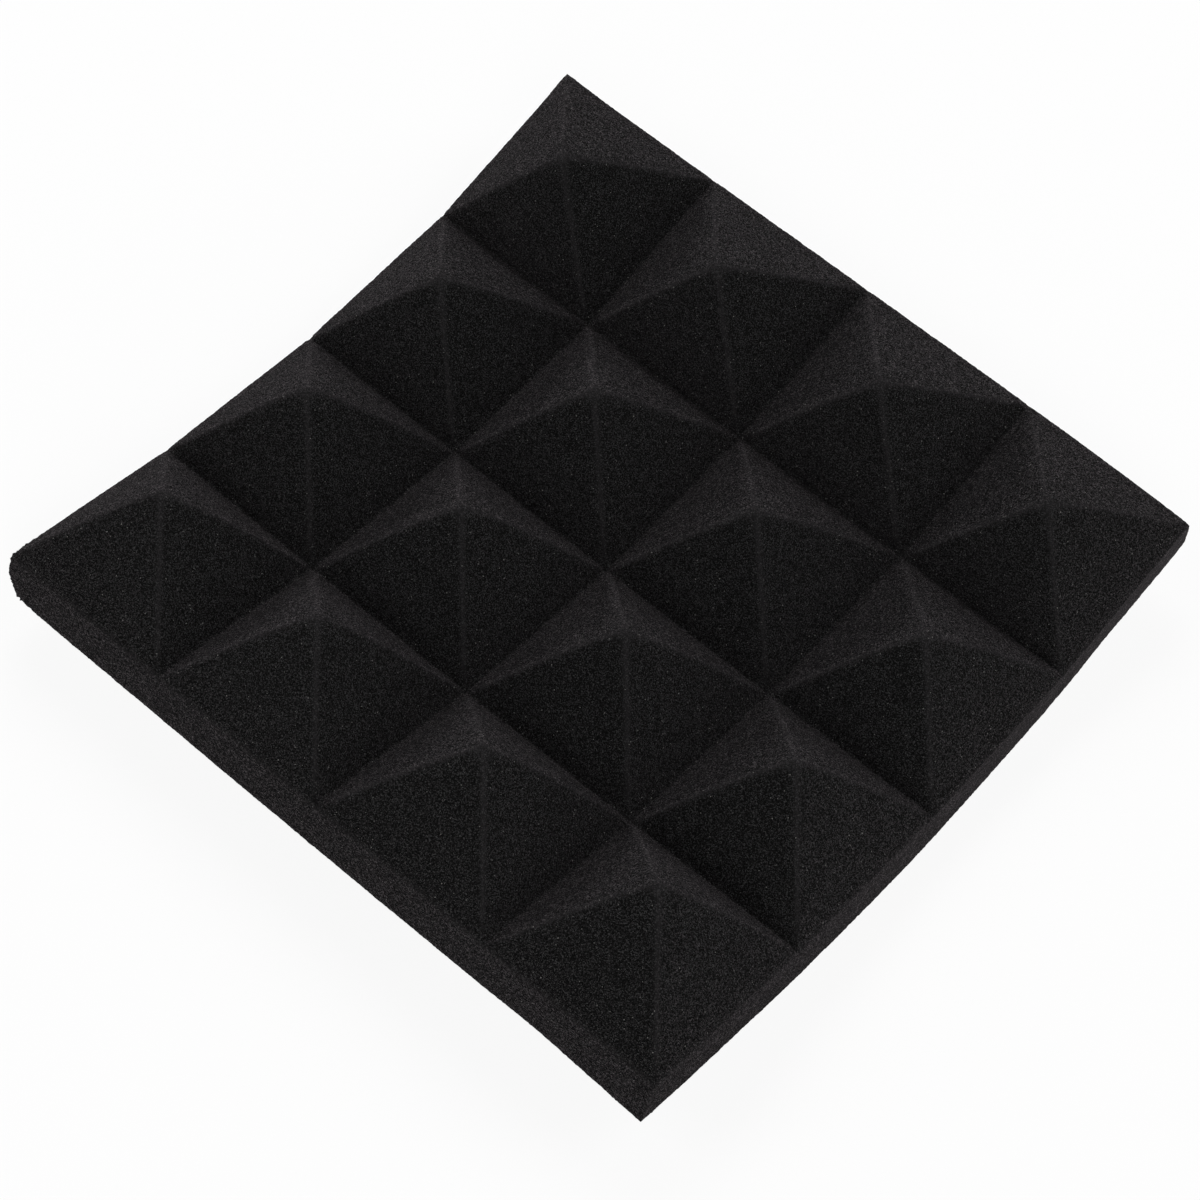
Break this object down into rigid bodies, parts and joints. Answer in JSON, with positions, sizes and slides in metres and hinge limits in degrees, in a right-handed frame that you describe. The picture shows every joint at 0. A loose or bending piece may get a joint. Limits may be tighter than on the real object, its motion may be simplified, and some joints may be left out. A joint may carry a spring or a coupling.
{
  "type": "acoustic foam panel",
  "caption": "Square open-cell foam tile with rows of pyramids on a solid base, gently curled along its grooves, for damping echoes on a wall.",
  "frame": {"origin": "middle of the flat strip on the back, on which the curled panel stands: the bottom centre of its box", "axes": "+X along the trough of the curl, +Y across it towards the side that turns up more, +Z from the back towards the pyramids"},
  "size_m": [0.3, 0.301, 0.0707],
  "materials": {
    "charcoal_foam": "matt open-cell polyurethane foam, charcoal black"
  },
  "bodies": {
    "root": {"foam_panel": "charcoal_foam"}
  },
  "joints": []
}
